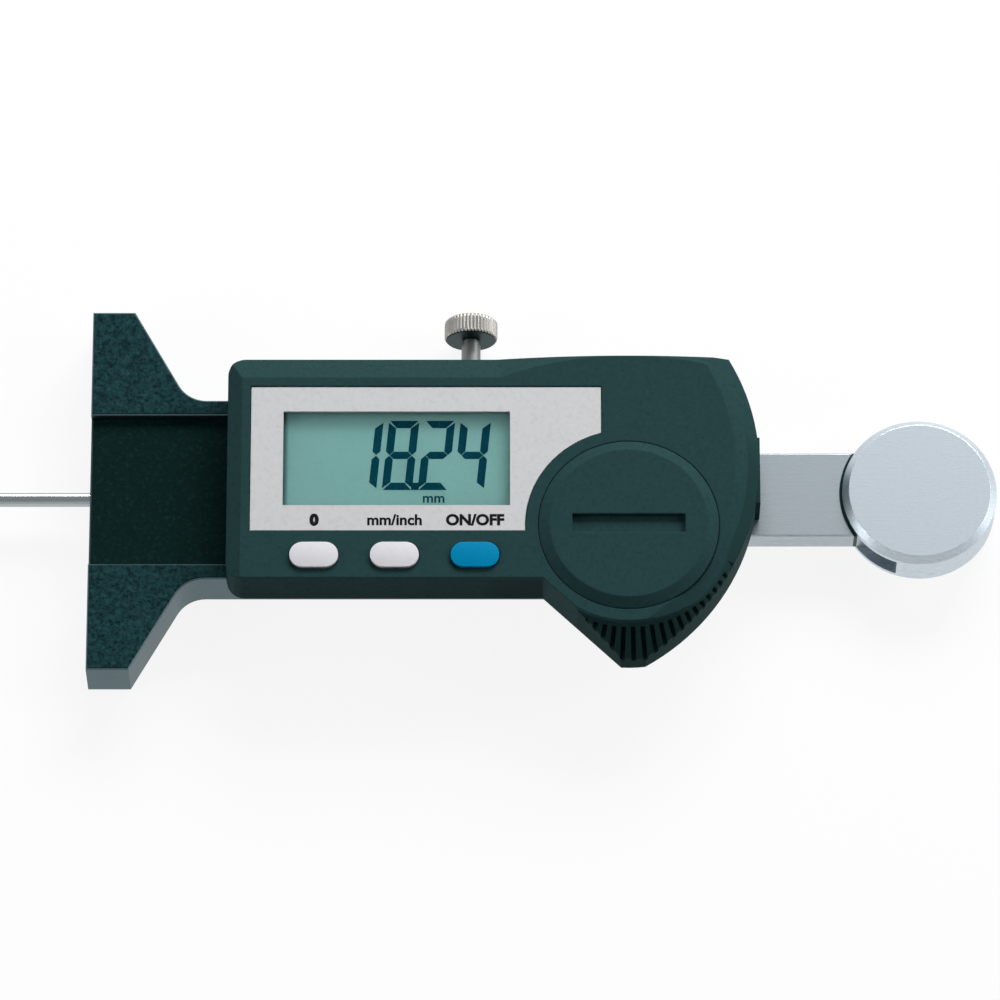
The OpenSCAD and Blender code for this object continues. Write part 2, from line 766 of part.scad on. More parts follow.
module stop_screw() {
    top_z = -beam_front + groove_depth - 0.15;
    color([0.45, 0.46, 0.48]) translate([stop_x, 0, -bridge_thk / 2]) difference() {
        countersunk(stop_r, stop_r + 1, top_z + bridge_thk / 2);
        translate([-3, -0.2, -cut]) cube([6, 0.4, 0.5 + cut]);
    }
}

module housing_screws() {
    for (spot = screw_spots)
        color([0.45, 0.46, 0.48]) translate([spot[0], spot[1], -bridge_thk / 2]) difference() {
            countersunk(screw_r, screw_head_r, bridge_thk / 2 + roof_z - 2);
            translate([-3, -0.2, -cut]) cube([6, 0.4, 0.4 + cut]);
        }
}

frame();
slot_cover();
back_plate();
housing();
faceplate();
display_window();
lcd_module();
contact_strips();
circuit_board();
read_head();
keypad();
button_left();
button_middle();
button_right();
battery();
contact_plus();
contact_minus();
battery_seal();
battery_cover();
gib();
gib_screws();
lock_screw();
beam();
scale();
measuring_pin();
end_disc();
disc_screws();
stop_screw();
housing_screws();
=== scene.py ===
"""The looks of an electronic depth gauge, built round its packed construction model.

Each operator finishes one piece or group of like pieces, and the last one sets the stage.
Lengths are in metres and colours are linear.
"""

import math

import bmesh
import bpy
from bpy.props import FloatProperty, FloatVectorProperty, IntProperty, PointerProperty, StringProperty
from mathutils import Matrix, Vector


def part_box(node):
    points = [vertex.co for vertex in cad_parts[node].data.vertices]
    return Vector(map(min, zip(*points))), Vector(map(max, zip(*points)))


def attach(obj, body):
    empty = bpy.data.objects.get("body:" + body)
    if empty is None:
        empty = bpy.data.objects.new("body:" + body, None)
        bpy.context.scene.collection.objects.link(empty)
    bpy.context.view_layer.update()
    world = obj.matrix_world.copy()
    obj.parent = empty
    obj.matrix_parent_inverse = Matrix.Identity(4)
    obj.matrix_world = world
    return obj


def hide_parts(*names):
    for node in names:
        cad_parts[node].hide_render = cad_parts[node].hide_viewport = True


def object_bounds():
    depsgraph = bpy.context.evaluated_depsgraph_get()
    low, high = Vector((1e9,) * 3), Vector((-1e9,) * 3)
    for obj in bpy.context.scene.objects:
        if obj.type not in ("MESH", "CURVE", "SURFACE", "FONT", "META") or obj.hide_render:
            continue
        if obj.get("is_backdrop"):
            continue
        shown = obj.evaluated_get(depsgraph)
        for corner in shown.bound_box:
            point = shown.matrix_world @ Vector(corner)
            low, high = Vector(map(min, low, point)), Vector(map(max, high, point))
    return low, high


bl_info = {
    "name": "Depth gauge finish",
    "version": (1, 0, 0),
    "blender": (4, 5, 0),
    "location": "View3D > Sidebar > Gauge",
    "description": "Finishes an electronic depth gauge and sets its studio",
    "category": "Object",
}

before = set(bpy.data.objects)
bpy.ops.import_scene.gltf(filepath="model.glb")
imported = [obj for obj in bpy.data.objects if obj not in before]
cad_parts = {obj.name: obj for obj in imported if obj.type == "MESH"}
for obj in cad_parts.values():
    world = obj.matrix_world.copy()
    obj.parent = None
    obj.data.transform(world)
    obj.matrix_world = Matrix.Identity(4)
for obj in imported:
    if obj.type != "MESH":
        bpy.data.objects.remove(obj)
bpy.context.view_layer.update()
MM = 0.001
ROOT = "gauge"
SLIDER = "slider"


# Properties -----------------------------------------------------------------------------------


def colour(name, description, value):
    """A colour property of one finish."""
    return FloatVectorProperty(
        name=name, description=description, subtype="COLOR", size=3, min=0, max=1, default=value
    )


def length(name, description, value):
    """A length property in metres."""
    return FloatProperty(
        name=name, description=description, unit="LENGTH", subtype="DISTANCE", precision=5, default=value
    )


def degrees(name, description, value):
    """An angle property, given in degrees."""
    return FloatProperty(name=name, description=description, subtype="ANGLE", default=math.radians(value))


def portion(name, description, value):
    """A property that is a share of something else."""
    return FloatProperty(name=name, description=description, subtype="FACTOR", min=0, max=1, default=value)


def place(name, description, value):
    """A property for a point, or for the way from one point to another, in metres."""
    return FloatVectorProperty(
        name=name, description=description, unit="LENGTH", subtype="TRANSLATION", default=value
    )


def sides(name, description, value):
    """A property for the two sides of a lamp in metres."""
    return FloatVectorProperty(name=name, description=description, unit="LENGTH", size=2, default=value)


def power(name, description, value):
    """The power property of a lamp."""
    return FloatProperty(name=name, description=description, subtype="POWER", default=value)


class GaugeColours(bpy.types.PropertyGroup):
    """Colours of the finishes."""

    coat: colour("Coating", "Front of the bridge", (0.0105, 0.041, 0.046))
    coat_speck: colour("Coating speck", "Darker specks in the coating", (0.0018, 0.013, 0.0155))
    bare: colour("Bare steel", "Sides of the bridge", (0.082, 0.133, 0.15))
    cover: colour("Slot cover", "Grained plate in the recess", (0.0015, 0.0130, 0.0120))
    cover_speck: colour("Slot cover speck", "Paler specks of that plate", (0.004, 0.022, 0.022))
    plastic: colour("Housing", "Moulded housing", (0.0195, 0.0505, 0.0525))
    # Painted shade: this darker tint stands for the shade on the sunken, ribbed thumb rest.
    rest: colour("Thumb rest", "Darker grain of the ribbed thumb rest", (0.0150, 0.0405, 0.0395))
    plate: colour("Faceplate", "Silver film", (0.565, 0.572, 0.582))
    pane: colour("Window", "Tint of the clear window", (0.93, 0.98, 0.96))
    lcd: colour("Display", "Background of the display", (0.136, 0.259, 0.258))
    # Painted shade: a darker left end of the display stands for the shade of the opening's wall.
    lcd_painted_shade: colour("Display edge", "Dark left end of the display", (0.035, 0.09, 0.09))
    segment: colour("Segments", "Dark segments of the display", (0.0, 0.028, 0.045))
    print_ink: colour("Print", "Marks above the buttons", (0.010, 0.010, 0.012))
    button: colour("Buttons", "Two pale buttons", (0.655, 0.655, 0.69))
    power: colour("Power button", "Blue button", (0.0, 0.21, 0.41))
    beam: colour("Beam steel", "Beam", (0.44, 0.505, 0.54))
    # Painted shadow: a dark line on the beam round the end disc stands for the shadow where the disc meets
    # the beam.
    contact_shadow: colour("Joint line", "Shadow line between disc and beam", (0.012, 0.03, 0.03))
    disc: colour("Disc steel", "End disc", (0.63, 0.71, 0.775))
    pin: colour("Pin", "Ground steel of the pin", (0.42, 0.455, 0.475))
    knob: colour("Lock screw", "Knurled steel", (0.40, 0.39, 0.37))
    shank: colour("Screw shank", "Steel of the lock screw's shank", (0.20, 0.21, 0.205))
    # Painted shade: the dark face under the screw's head stands for the shade beneath the head.
    underside: colour("Screw underside", "Oxidised face under the screw's head", (0.02, 0.045, 0.045))
    screw: colour("Small screws", "Small screws and back plate", (0.35, 0.36, 0.37))
    cell: colour("Cell", "Steel of the battery", (0.62, 0.62, 0.64))
    brass: colour("Brass", "Gib and contacts", (0.62, 0.46, 0.20))
    board: colour("Board", "Solder mask", (0.02, 0.16, 0.07))
    rubber: colour("Rubber", "Keypad, strips and seal", (0.02, 0.02, 0.022))
    foil: colour("Scale foil", "Etched pads of the scale", (0.60, 0.45, 0.22))
    scale: colour("Scale ground", "Board under the pads", (0.02, 0.07, 0.05))


class GaugeSizes(bpy.types.PropertyGroup):
    """Sizes of edges, colour borders and scale pads."""

    edge: length("Moulded edge", "Round on the edges of moulded pieces", 0.35 * MM)
    steel_edge: length("Machined edge", "Break on the edges of machined pieces", 0.12 * MM)
    button_edge: length("Button edge", "Round on the edges of the buttons", 0.25 * MM)
    coat_reach: length("Coat's reach", "How far the coat goes down from the bridge's face", 0.1 * MM)
    # Width of the painted shadow line round the end disc.
    contact_shadow_width: length("Joint line", "Width of the dark line round the end disc", 0.45 * MM)
    rest_drop: length("Thumb rest drop", "Step from the housing's face down to the thumb rest", 0.85 * MM)
    rest_inner: length("Thumb rest start", "From the battery cover's rim to the rest", 2.05 * MM)
    rest_outer: length("Thumb rest end", "From that rim to where the rest has faded out", 11 * MM)
    rest_fade: portion("Thumb rest fade", "Where the fade begins, as a share of the rest's end", 0.75)
    pad_pitch: length("Pad pitch", "Distance between the scale's pads", 2.54 * MM)
    pad_width: length("Pad width", "Width of one pad", 1.5 * MM)
    pad_margin: length("Pad margin", "Bare edge of the scale round its pads", 1.0 * MM)
    pad_height: length("Pad height", "Thickness of one pad", 0.02 * MM)


class GaugeDisplay(bpy.types.PropertyGroup):
    """The reading, its digits and the marks above the buttons."""

    reading: StringProperty(name="Reading", description="What the display shows", default="18.24")
    opening_width: length("Opening width", "Width of the display's opening", 35.1 * MM)
    # Where the painted shade at the display's left end is darkest, and where it has faded out.
    shade_start: length("Border start", "Where the dark left end is darkest, from the opening", 0.2 * MM)
    shade_end: length("Border end", "Where it has faded out, measured likewise", 0.85 * MM)
    digit_height: length("Digit height", "Height of a display digit", 11.6 * MM)
    digit_width: length("Digit width", "Width of a display digit", 4.7 * MM)
    digit_pitch: length("Digit pitch", "Distance between neighbouring digits", 5.55 * MM)
    digit_bar: length("Segment width", "Width of one segment", 1.22 * MM)
    digit_gap: length("Segment gap", "Gap between neighbouring segments", 0.06 * MM)
    digit_slant: degrees("Slant", "Lean of the digits", 5.5)
    digit_right: length("Digits' place", "From the window's left edge to the first digit", 10.15 * MM)
    digit_up: length("Digits' foot", "From the window's lower edge to the digits' foot", 3.6 * MM)
    digit_depth: length("Segment thickness", "Thickness of the segments and the unit", 0.04 * MM)
    unit_right: length("Unit's place", "From the first digit to the unit's middle", 13.6 * MM)
    unit_down: length("Unit's drop", "From the digits' foot down to the unit's middle", 1.4 * MM)
    unit_height: length("Unit height", "Height of the unit's letters", 1.6 * MM)
    unit_weight: length("Unit weight", "How much each stroke of the unit grows outwards", 0.04 * MM)
    mark_height: length("Mark height", "Height of the marks above the buttons", 1.72 * MM)
    mark_up: length("Marks' place", "From a button's upper edge to its mark's middle", 3.8 * MM)
    mark_depth: length("Mark thickness", "Thickness of the printed marks", 0.02 * MM)


class GaugeLockScrew(bpy.types.PropertyGroup):
    """Sizes of the knurled lock screw."""

    head_length: length("Head length", "Length of the knurled head", 3.2 * MM)
    head_chamfer: length("Head chamfer", "Chamfer at both ends of the head", 0.35 * MM)
    ridges: IntProperty(name="Ridges", description="Ridges round the head", default=44)
    ridge_depth: length("Ridge depth", "Depth of the knurl", 0.18 * MM)
    band: length("Dark band", "Half the height of the oxidised band under the head", 0.15 * MM)
    shank_radius: length("Shank radius", "Radius over the thread", 1.5 * MM)
    sunk: length("Sunk shank", "How far the shank reaches into the head", 0.2 * MM)
    neck_length: length("Neck length", "Length of the thinner neck under the head", 0.4 * MM)
    neck_depth: length("Neck depth", "How much less the neck's radius is", 0.15 * MM)
    thread_length: length("Thread length", "Thread and tip together", 9 * MM)
    thread_pitch: length("Thread pitch", "Distance between two crests", 0.5 * MM)
    thread_depth: length("Thread depth", "From crest to root", 0.25 * MM)
    tip_length: length("Tip length", "Length of the tapered tip", 0.3 * MM)
    tip_share: portion("Tip", "Radius at the very tip, as a share of the shank's", 0.8)


class GaugeStudio(bpy.types.PropertyGroup):
    """Camera, light and table."""

    aim: place("Aim", "Point at the picture's centre", (0.06375, 0.0, 0.0))
    elevation: degrees("Elevation", "Camera's angle above the table", 67.5)
    distance: length("Distance", "Camera to the aim", 1.2)
    width: length("Field width", "Width seen at the aim", 0.1558)
    key: power("Key lamp", "Power of the large lamp behind", 15.0)
    key_way: place("Key lamp's place", "From the aim to the large lamp", (0.22, 0.83, 0.50))
    key_sides: sides("Key lamp's sides", "Sides of the large lamp", (0.8, 0.4))
    right: power("Right lamp", "Power of the right lamp", 4.2)
    right_way: place("Right lamp's place", "From the aim to the right lamp", (0.85, 0.1, 0.45))
    right_sides: sides("Right lamp's sides", "Sides of the right lamp", (0.5, 0.5))
    left: power("Left lamp", "Power of the left lamp", 3.0)
    left_way: place("Left lamp's place", "From the aim to the left lamp", (-0.86, -0.18, 0.36))
    left_sides: sides("Left lamp's sides", "Sides of the left lamp", (0.5, 0.4))
    sky: FloatProperty(name="Sky", description="Strength of the light all round", default=0.07)
    table: colour("Table", "Top of the table", (0.86, 0.86, 0.86))


def colours():
    """The colours that the finishes use."""
    return bpy.context.scene.gauge_colours


def sizes():
    """The sizes that more than one piece uses."""
    return bpy.context.scene.gauge_sizes


def node_object(name):
    """The object of a construction solid."""
    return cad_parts[name]


def centre_of(name):
    """The centre of a construction solid's box, as three numbers."""
    return [(low + high) / 2 for low, high in zip(*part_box(name))]


# Node trees -----------------------------------------------------------------------------------

COLOUR = "NodeSocketColor"
NUMBER = "NodeSocketFloat"
COUNT = "NodeSocketInt"
GEOMETRY = "NodeSocketGeometry"


def new_tree(name, kind, inputs, outputs):
    """A node tree with its sockets and its two ends, as (tree, input node, output node)."""
    tree = bpy.data.node_groups.new(name, kind)
    for label, socket_type, value in inputs:
        socket = tree.interface.new_socket(label, in_out="INPUT", socket_type=socket_type)
        if value is not None:
            socket.default_value = value
    for label, socket_type in outputs:
        tree.interface.new_socket(label, in_out="OUTPUT", socket_type=socket_type)
    start = tree.nodes.new("NodeGroupInput")
    end = tree.nodes.new("NodeGroupOutput")
    return tree, start, end


def feed(tree, node, feeds):
    """Joins inputs of a node, by name or number, to other outputs, or gives them plain values."""
    for key, value in feeds.items():
        if isinstance(value, bpy.types.NodeSocket):
            tree.links.new(value, node.inputs[key])
        else:
            node.inputs[key].default_value = value


def add(tree, kind, feeds):
    """A new node whose inputs are fed."""
    node = tree.nodes.new(kind)
    feed(tree, node, feeds)
    return node


def arithmetic(tree, operation, *values):
    """The result of a Math node on sockets or numbers."""
    node = tree.nodes.new("ShaderNodeMath")
    node.operation = operation
    feed(tree, node, dict(enumerate(values)))
    return node.outputs[0]


def ramp(tree, source, low, high):
    """A Map Range that takes low to 0 and high to 1."""
    node = add(tree, "ShaderNodeMapRange", {"Value": source, "From Min": low, "From Max": high})
    return node.outputs["Result"]


def mix_colours(tree, factor, first, second):
    """A colour mix of two sockets or values by a factor socket."""
    node = tree.nodes.new("ShaderNodeMix")
    node.data_type = "RGBA"
    feed(tree, node, {"Factor": factor, "A": first, "B": second})
    return node.outputs["Result"]


def coordinates(tree, kind):
    """One kind of texture coordinates."""
    return tree.nodes.new("ShaderNodeTexCoord").outputs[kind]


def noise(tree, scale, detail, rough=0.6, stretch=(1, 1, 1)):
    """The value of a noise on Object coordinates that are first stretched."""
    mapping = add(tree, "ShaderNodeMapping", {"Vector": coordinates(tree, "Object"), "Scale": stretch})
    node = add(tree, "ShaderNodeTexNoise", {
        "Vector": mapping.outputs["Vector"], "Scale": scale, "Detail": detail, "Roughness": rough,
    })
    return node.outputs["Fac"]


def varied(tree, base, field, spread):
    """A base value that a noise moves up and down."""
    noise_middle = 0.5
    drift = arithmetic(tree, "SUBTRACT", field, noise_middle)
    return arithmetic(tree, "ADD", base, arithmetic(tree, "MULTIPLY", drift, spread))


def axes_of(tree, vector):
    """The X, Y and Z sockets of a vector."""
    return tuple(add(tree, "ShaderNodeSeparateXYZ", {"Vector": vector}).outputs)


def object_axes(tree):
    """The X, Y and Z sockets of the Object coordinates."""
    return axes_of(tree, coordinates(tree, "Object"))


def distance_from(tree, centre):
    """The distance of the shaded point from the line along Z through a centre."""
    squares = [
        arithmetic(tree, "POWER", arithmetic(tree, "SUBTRACT", axis, value), 2.0)
        for axis, value in zip(object_axes(tree), centre[:2])
    ]
    return arithmetic(tree, "SQRT", arithmetic(tree, "ADD", *squares))


def near(tree, value, middle, reach):
    """A mask that is 1 where a value lies within a reach of a middle."""
    off = arithmetic(tree, "ABSOLUTE", arithmetic(tree, "SUBTRACT", value, middle))
    return arithmetic(tree, "LESS_THAN", off, reach)


# Shader node groups ---------------------------------------------------------------------------

GRAIN = "moulded grain"
GRAIN_DEPTH = 0.03 * MM
SHEEN_SPREAD = 0.12
STREAKS = "brushed streaks"
STREAK_DEPTH = 0.01 * MM
FINISH_OUTPUTS = [("Colour", COLOUR), ("Roughness", NUMBER), ("Height", NUMBER)]


def moulded_group():
    """Grained plastic or coating: a mottled colour with specks, fine bumps and uneven sheen."""
    mottle_gain = 4.0
    darkest = 0.1
    group, start, end = new_tree(
        GRAIN,
        "ShaderNodeTree",
        [
            ("Colour", COLOUR, (0.02, 0.04, 0.05, 1)),
            ("Speck", COLOUR, (0.01, 0.02, 0.02, 1)),
            ("Speck Scale", NUMBER, 1500.0),
            ("Speck Low", NUMBER, 0.55),
            ("Speck High", NUMBER, 0.75),
            ("Mottle", NUMBER, 0.1),
            ("Roughness", NUMBER, 0.5),
            ("Sheen Spread", NUMBER, SHEEN_SPREAD),
        ],
        FINISH_OUTPUTS,
    )
    given = start.outputs
    coarse = noise(group, given["Speck Scale"], detail=3)
    fine = noise(group, 5200, detail=2)
    blotch = noise(group, 1150, detail=4, rough=0.75)
    cloud = noise(group, 120, detail=2)
    mask = ramp(group, coarse, given["Speck Low"], given["Speck High"])
    tone = mix_colours(group, mask, given["Colour"], given["Speck"])
    swing = arithmetic(group, "MULTIPLY", given["Mottle"], mottle_gain)
    level = arithmetic(group, "MAXIMUM", varied(group, 1.0, blotch, swing), darkest)
    scaled = group.nodes.new("ShaderNodeVectorMath")
    scaled.operation = "SCALE"
    feed(group, scaled, {0: tone, "Scale": level})
    feed(group, end, {
        "Colour": scaled.outputs["Vector"],
        "Roughness": varied(group, given["Roughness"], cloud, given["Sheen Spread"]),
        "Height": arithmetic(group, "ADD", fine, coarse),
    })
    return group


def brushed_group():
    """Steel brushed along X: long streaks in colour, roughness and height."""
    streak_low = 0.38
    streak_high = 0.66
    group, start, end = new_tree(
        STREAKS,
        "ShaderNodeTree",
        [
            ("Colour", COLOUR, (0.6, 0.6, 0.6, 1)),
            ("Streak", COLOUR, (0.4, 0.4, 0.4, 1)),
            ("Roughness", NUMBER, 0.35),
            ("Roughness Spread", NUMBER, 0.2),
        ],
        FINISH_OUTPUTS,
    )
    given = start.outputs
    long_streak = noise(group, 3600, detail=4, rough=0.7, stretch=(0.045, 1, 1))
    short_streak = noise(group, 5200, detail=3, rough=0.7, stretch=(0.16, 1, 1))
    mean = arithmetic(group, "MULTIPLY", arithmetic(group, "ADD", long_streak, short_streak), 0.5)
    mask = ramp(group, mean, streak_low, streak_high)
    feed(group, end, {
        "Colour": mix_colours(group, mask, given["Colour"], given["Streak"]),
        "Roughness": varied(group, given["Roughness"], mean, given["Roughness Spread"]),
        "Height": mean,
    })
    return group


def shared_group(name, builder):
    """The node group of that name, made the first time it is asked for."""
    return bpy.data.node_groups.get(name) or builder()


def placed(tree, group, values):
    """A node group placed in a material with its own values."""
    node = tree.nodes.new("ShaderNodeGroup")
    node.node_tree = group
    feed(tree, node, values)
    return node


# Materials ------------------------------------------------------------------------------------


def blank_material(name):
    """An empty node material and its shader, joined to the output."""
    made = bpy.data.materials.new(name)
    made.use_nodes = True
    tree = made.node_tree
    tree.nodes.clear()
    shader = tree.nodes.new("ShaderNodeBsdfPrincipled")
    add(tree, "ShaderNodeOutputMaterial", {"Surface": shader.outputs["BSDF"]})
    return made, tree, shader


def finish_with(tree, shader, node, bump, depth, edge):
    """Joins a placed node group to the shader, with a bump and soft edges."""
    bumper = add(tree, "ShaderNodeBump", {
        "Strength": bump, "Distance": depth, "Height": node.outputs["Height"],
    })
    if edge:
        soft = add(tree, "ShaderNodeBevel", {"Radius": edge})
        feed(tree, bumper, {"Normal": soft.outputs["Normal"]})
    feed(tree, shader, {
        "Base Color": node.outputs["Colour"], "Roughness": node.outputs["Roughness"],
        "Normal": bumper.outputs["Normal"],
    })


def opaque(rgb, factor=1.0):
    """A colour property as four numbers, made lighter or darker by a factor."""
    return tuple(min(1.0, channel * factor) for channel in rgb) + (1.0,)


def moulded(
    name, rgb, shade=0.75, speck=None, rough=0.5, specular=0.1, specks=(1500, 0.5, 0.8), mottle=0.06,
    bump=0.3, edge=0.0,
):
    """A moulded or coated finish, whose specks are a shade of its colour or a colour of their own.

    The three numbers of the specks are their fineness, and the noise values where they begin and
    where they are full.
    """
    made, tree, shader = blank_material(name)
    feed(tree, shader, {"Specular IOR Level": specular})
    fineness, begin, full = specks
    node = placed(tree, shared_group(GRAIN, moulded_group), {
        "Colour": opaque(rgb), "Speck": opaque(rgb, shade) if speck is None else opaque(speck),
        "Speck Scale": fineness, "Speck Low": begin, "Speck High": full,
        "Mottle": mottle, "Roughness": rough, "Sheen Spread": SHEEN_SPREAD,
    })
    finish_with(tree, shader, node, bump, GRAIN_DEPTH, edge)
    return made


def brushed(name, rgb, streak=0.72, rough=0.36, bump=0.25, spread=0.25, edge=0.0):
    """A brushed metal finish."""
    made, tree, shader = blank_material(name)
    feed(tree, shader, {"Metallic": 1.0})
    node = placed(tree, shared_group(STREAKS, brushed_group), {
        "Colour": opaque(rgb), "Streak": opaque(rgb, streak), "Roughness": rough,
        "Roughness Spread": spread,
    })
    finish_with(tree, shader, node, bump, STREAK_DEPTH, edge)
    return made


def shader_of(made):
    """The shader node of a material."""
    return next(node for node in made.node_tree.nodes if node.type == "BSDF_PRINCIPLED")


def tinted_where(made, mask, second):
    """Lays a second colour, or a socket's colour, over a material's own where a mask is 1."""
    tree = made.node_tree
    shader = shader_of(made)
    own = shader.inputs["Base Color"].links[0].from_socket
    feed(tree, shader, {"Base Color": mix_colours(tree, mask, own, second)})


def coated_steel(name, height):
    """Satin steel whose faces above a height carry a dark speckled coat."""
    tint = colours()
    made = moulded(
        name, tint.coat, speck=tint.coat_speck, rough=0.45, specular=0.04, specks=(1900, 0.46, 0.68),
        mottle=0.75, bump=0.4, edge=sizes().steel_edge,
    )
    tree = made.node_tree
    streaks = placed(tree, shared_group(STREAKS, brushed_group), {
        "Colour": opaque(tint.bare), "Streak": opaque(tint.bare, factor=0.8),
    })
    painted = arithmetic(tree, "GREATER_THAN", object_axes(tree)[2], height)
    bare = arithmetic(tree, "SUBTRACT", 1.0, painted)
    tinted_where(made, bare, streaks.outputs["Colour"])
    feed(tree, shader_of(made), {"Metallic": bare})
    return made


def clear_window(rgb):
    """A clear pane with faint smudges in its polish."""
    polish = 0.02
    haze = 0.05
    made, tree, shader = blank_material("clear window")
    smudge = ramp(tree, noise(tree, 140, detail=3), low=0.4, high=0.7)
    feed(tree, shader, {
        "Base Color": opaque(rgb), "Transmission Weight": 1.0, "IOR": 1.06,
        "Roughness": arithmetic(tree, "ADD", arithmetic(tree, "MULTIPLY", smudge, haze), polish),
    })
    return made


def set_material(obj, made):
    """Gives an object one material and no other."""
    obj.data.materials.clear()
    obj.data.materials.append(made)


# Shapes ---------------------------------------------------------------------------------------

SHARP = math.radians(30)
KNURL_SHARP = math.radians(35)
ROUND_STEPS = 3


def new_piece(name, mesh, body):
    """A finished piece that rides on a body."""
    obj = bpy.data.objects.new(name, mesh)
    bpy.context.scene.collection.objects.link(obj)
    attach(obj, body)
    return obj


def drafted(name, data):
    """An object for the time being, in the scene so that it can be evaluated."""
    draft = bpy.data.objects.new(name, data)
    bpy.context.scene.collection.objects.link(draft)
    return draft


def applied(obj):
    """The evaluated mesh of an object, which is then removed."""
    depsgraph = bpy.context.evaluated_depsgraph_get()
    mesh = bpy.data.meshes.new_from_object(obj.evaluated_get(depsgraph), depsgraph=depsgraph)
    bpy.data.objects.remove(obj)
    return mesh


def smooth(mesh, sharp):
    """Smooth shading that stays sharp where faces meet at more than an angle."""
    mesh.shade_smooth()
    mesh.set_sharp_from_angle(angle=sharp)


def rounded_copy(node, width, body, made):
    """A copy of a construction solid whose sharp edges are rounded, which stands for that solid."""
    weld = 1e-6
    flat = math.radians(0.4)
    mesh = node_object(node).data.copy()
    work = bmesh.new()
    work.from_mesh(mesh)
    bmesh.ops.remove_doubles(work, verts=work.verts, dist=weld)
    bmesh.ops.dissolve_limit(
        work, angle_limit=flat, use_dissolve_boundaries=False, verts=work.verts, edges=work.edges
    )
    work.to_mesh(mesh)
    work.free()
    draft = drafted("draft", mesh)
    bevel = draft.modifiers.new("edge", "BEVEL")
    bevel.width = width
    bevel.segments = ROUND_STEPS
    bevel.limit_method = "ANGLE"
    bevel.angle_limit = SHARP
    bevel.use_clamp_overlap = True
    bevel.miter_outer = "MITER_ARC"
    bevel.harden_normals = False
    done = applied(draft)
    smooth(done, SHARP)
    obj = new_piece(node + "_finished", done, body)
    set_material(obj, made)
    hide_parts(node)
    return obj


def solid_mesh(name, points, faces):
    """A checked mesh from points and faces."""
    mesh = bpy.data.meshes.new(name)
    mesh.from_pydata(points, [], faces)
    mesh.validate()
    return mesh


def prism(outline, low, high):
    """The points and faces of a flat outline pushed from low to high along Z."""
    count = len(outline)
    points = [(x, y, low) for x, y in outline] + [(x, y, high) for x, y in outline]
    faces = [tuple(reversed(range(count))), tuple(range(count, 2 * count))]
    for i in range(count):
        j = (i + 1) % count
        faces.append((i, j, count + j, count + i))
    return points, faces


def prisms_mesh(name, outlines, low, high):
    """One mesh of several flat outlines, each pushed from low to high."""
    points, faces = [], []
    for outline in outlines:
        more, walls = prism(outline, low, high)
        faces += [tuple(len(points) + k for k in face) for face in walls]
        points += more
    return solid_mesh(name, points, faces)


def text_mesh(words, height, centre, low, thickness, weight):
    """Plain lettering as a flat solid, centred on a point and standing on a height."""
    capital_share = 0.70
    curve = bpy.data.curves.new("lettering", "FONT")
    curve.body = words
    curve.size = height / capital_share
    curve.align_x = "CENTER"
    curve.align_y = "CENTER"
    curve.extrude = thickness / 2
    curve.offset = weight
    curve.resolution_u = 4
    mesh = applied(drafted("lettering", curve))
    mesh.transform(Matrix.Translation((centre[0], centre[1], low + thickness / 2)))
    return mesh


def joined(name, meshes):
    """Several meshes as one."""
    work = bmesh.new()
    for mesh in meshes:
        work.from_mesh(mesh)
    whole = bpy.data.meshes.new(name)
    work.to_mesh(whole)
    work.free()
    return whole


def lathe(name, profile, origin, axis, steps=64):
    """A closed solid of revolution about an axis, from (distance along the axis, radius) points."""
    turn = Vector((0, 0, 1)).rotation_difference(Vector(axis)).to_matrix()
    points, faces = [], []
    for along, radius in profile:
        for k in range(steps):
            angle = 2 * math.pi * k / steps
            spot = Vector((radius * math.cos(angle), radius * math.sin(angle), along))
            points.append(Vector(origin) + turn @ spot)
    last = (len(profile) - 1) * steps
    for ring in range(0, last, steps):
        for k in range(steps):
            j = (k + 1) % steps
            faces.append((ring + k, ring + j, ring + steps + j, ring + steps + k))
    faces.append(tuple(reversed(range(steps))))
    faces.append(tuple(range(last, last + steps)))
    return solid_mesh(name, points, faces)


# Display --------------------------------------------------------------------------------------

SEGMENTS_OF = {
    "0": "abcdef", "1": "bc", "2": "abged", "3": "abgcd", "4": "fgbc",
    "5": "afgcd", "6": "afgedc", "7": "abc", "8": "abcdefg", "9": "abcdfg",
}


def level_segment(letter, size):
    """The outline of a segment that lies level: a at the top, g in the middle, d at the foot."""
    half = size.digit_bar / 2
    y = {"a": size.digit_height - half, "g": size.digit_height / 2, "d": half}[letter]
    x0 = half + size.digit_gap
    x1 = size.digit_width - half - size.digit_gap
    if letter == "g":
        return [
            (x0, y), (x0 + half, y - half), (x1 - half, y - half),
            (x1, y), (x1 - half, y + half), (x0 + half, y + half),
        ]
    flare = 0.8 * half
    inner = y - half if letter == "a" else y + half
    outer = y + half if letter == "a" else y - half
    shape = [(x0 - flare, outer), (x1 + flare, outer), (x1 - half, inner), (x0 + half, inner)]
    return shape if letter == "d" else list(reversed(shape))


def upright_segment(letter, size):
    """The outline of a segment that stands upright: b and f above, c and e below."""
    bar = size.digit_bar
    half = bar / 2
    nick = 0.4 * half
    left = letter in "ef"
    low = letter in "ec"
    outer = 0 if left else size.digit_width
    inner = bar if left else size.digit_width - bar
    centre = half if left else size.digit_width - half
    middle = size.digit_height / 2
    y0 = size.digit_gap if low else middle + size.digit_gap
    y1 = middle - size.digit_gap if low else size.digit_height - size.digit_gap
    tip0 = y0 + (bar if low else half)
    tip1 = y1 - (half if low else bar)
    if low:
        shape = [(outer, y0 + nick), (inner, tip0), (inner, tip1), (centre, y1), (outer, tip1)]
    else:
        shape = [(outer, tip0), (centre, y0), (inner, tip0), (inner, tip1), (outer, y1 - nick)]
    area = sum(a[0] * b[1] - b[0] * a[1] for a, b in zip(shape, shape[1:] + shape[:1]))
    return shape if area > 0 else list(reversed(shape))


